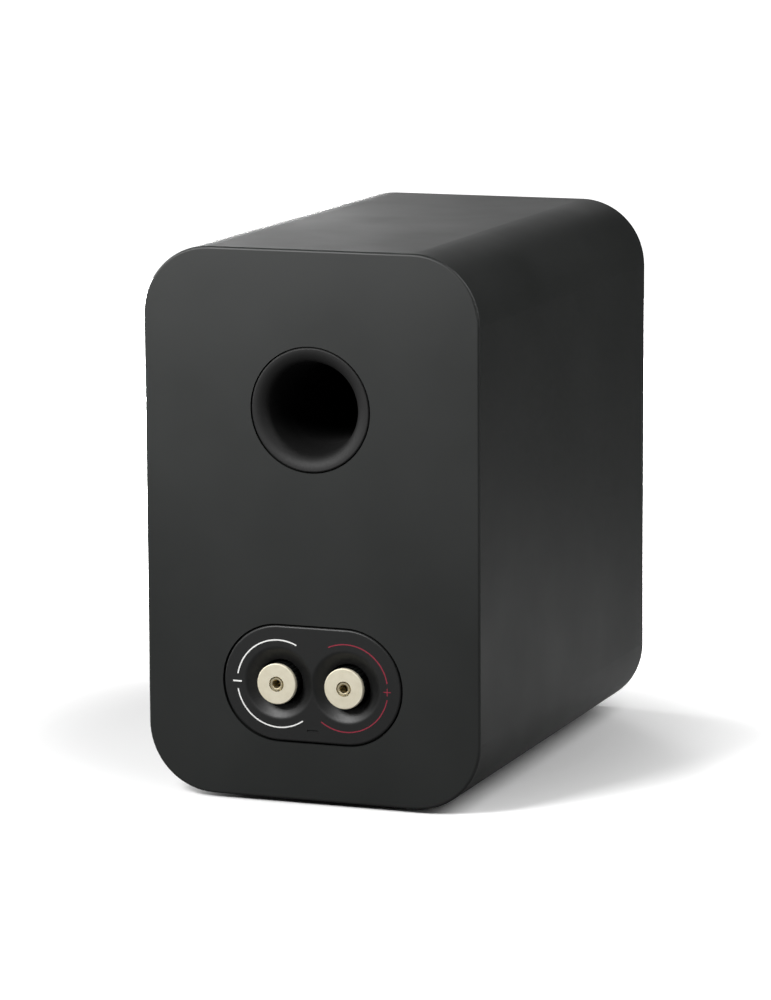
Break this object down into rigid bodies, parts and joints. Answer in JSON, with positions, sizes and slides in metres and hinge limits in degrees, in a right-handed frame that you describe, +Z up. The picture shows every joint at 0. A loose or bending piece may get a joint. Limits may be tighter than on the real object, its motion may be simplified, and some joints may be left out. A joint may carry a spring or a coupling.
{
  "type": "bookshelf speaker",
  "caption": "Compact two-way bookshelf loudspeaker with a rounded cabinet, a rear reflex port and screw-down terminals for bare wire or plugs.",
  "frame": {"origin": "on the surface the feet stand on, under the middle of the cabinet", "axes": "+Z up, +Y out of the rear panel, the drivers face -Y, +X is the side of the negative post"},
  "size_m": [0.165, 0.256, 0.26],
  "materials": {
    "cabinet_lacquer": "satin charcoal lacquer on fibreboard",
    "bare_board": "bare fibreboard, sawn",
    "wadding": "white polyester wadding",
    "moulded_black": "fine-grained moulding",
    "terminal_nickel": "satin nickel plating, turned",
    "grip_black": "fluted, satin",
    "post_plating": "plated, turned",
    "steel_bits": "zinc-plated",
    "black_screws": "black oxide",
    "soft_rubber": "matt",
    "gasket_foam": "closed-cell foam",
    "circuit_board": "solder resist on glass-fibre board",
    "spacer_nylon": "moulded",
    "copper": "enamelled copper wire",
    "film_capacitor": "wrapped film, resin ends",
    "cement": "cast cement body",
    "lead_jacket": "soft insulation",
    "driver_frame": "black powder-coated casting",
    "motor_steel": "zinc-plated",
    "ferrite": "ground ferrite",
    "tag_strip": "laminate with plated tabs",
    "cone_fibre": "coated fibre, matt",
    "coil_former": "polyimide film",
    "spider_cloth": "resin-stiffened cotton",
    "trim_satin": "satin moulding",
    "dome_fabric": "coated fabric",
    "chamber_plastic": "moulded"
  },
  "bodies": {
    "cabinet": {"cabinet_sleeve": "cabinet_lacquer", "rear_panel": "cabinet_lacquer", "front_baffle": "cabinet_lacquer", "ring_brace": "bare_board", "shelf_brace": "bare_board", "wadding_pads": "wadding", "reflex_port": "moulded_black", "terminal_plate": "moulded_black", "port_inner_bell": "moulded_black", "negative_post": "post_plating", "positive_post": "post_plating", "input_links": "post_plating", "post_nuts": "steel_bits", "solder_tags": "steel_bits", "board_screws": "steel_bits", "woofer_screws": "black_screws", "tweeter_screws": "black_screws", "rubber_feet": "soft_rubber", "woofer_surround": "soft_rubber", "tweeter_gasket": "soft_rubber", "port_gasket": "gasket_foam", "terminal_gasket": "gasket_foam", "woofer_gasket": "gasket_foam", "crossover_board": "circuit_board", "board_spacers": "spacer_nylon", "bass_inductor": "copper", "treble_inductor": "copper", "bass_capacitor": "film_capacitor", "treble_capacitor": "film_capacitor", "cement_resistors": "cement", "woofer_leads": "lead_jacket", "tweeter_leads": "lead_jacket", "woofer_basket": "driver_frame", "tweeter_chassis": "driver_frame", "woofer_top_plate": "motor_steel", "woofer_yoke": "motor_steel", "tweeter_cup": "motor_steel", "tweeter_pole_plate": "motor_steel", "woofer_magnet": "ferrite", "tweeter_magnet": "ferrite", "woofer_tag_strip": "tag_strip", "woofer_spider": "spider_cloth", "woofer_trim_ring": "trim_satin", "tweeter_faceplate": "trim_satin", "tweeter_surround": "dome_fabric", "tweeter_rear_chamber": "chamber_plastic"},
    "woofer_cone": {"woofer_cone": "cone_fibre", "woofer_dust_cap": "cone_fibre", "woofer_coil_former": "coil_former", "woofer_coil_winding": "copper"},
    "tweeter_dome": {"tweeter_dome": "dome_fabric", "tweeter_coil_former": "coil_former", "tweeter_coil_winding": "copper"},
    "negative_clamp": {"negative_clamp_washer": "steel_bits"},
    "negative_knob": {"negative_knob_core": "terminal_nickel", "negative_knob_grip": "grip_black"},
    "positive_clamp": {"positive_clamp_washer": "steel_bits"},
    "positive_knob": {"positive_knob_core": "terminal_nickel", "positive_knob_grip": "grip_black"}
  },
  "joints": [
    {"name": "woofer_stroke", "type": "slide", "parent": "cabinet", "child": "woofer_cone", "axis": [0, -1, 0], "range_m": [-0.004, 0.004], "stiffness_N_per_m": 1200, "deforming": ["woofer_surround", "woofer_spider"]},
    {"name": "tweeter_stroke", "type": "slide", "parent": "cabinet", "child": "tweeter_dome", "axis": [0, -1, 0], "range_m": [-0.0004, 0.0004], "stiffness_N_per_m": 500, "deforming": ["tweeter_surround"]},
    {"name": "negative_clamp_lift", "type": "slide", "parent": "cabinet", "child": "negative_clamp", "axis": [0, 1, 0], "range_m": [0, 0.0048]},
    {"name": "negative_knob_turn", "type": "hinge", "parent": "negative_clamp", "child": "negative_knob", "pos_m": [0.0167, 0.128, 0.0571], "axis": [0, 1, 0], "range_deg": [0, 1730]},
    {"name": "positive_clamp_lift", "type": "slide", "parent": "cabinet", "child": "positive_clamp", "axis": [0, 1, 0], "range_m": [0, 0.0048]},
    {"name": "positive_knob_turn", "type": "hinge", "parent": "positive_clamp", "child": "positive_knob", "pos_m": [-0.0167, 0.128, 0.0571], "axis": [0, 1, 0], "range_deg": [0, 1730]}
  ],
  "couplings": [
    {"joint": "negative_knob_turn", "follows": "negative_clamp_lift", "rad_per_m": 6283.2},
    {"joint": "positive_knob_turn", "follows": "positive_clamp_lift", "rad_per_m": 6283.2}
  ]
}
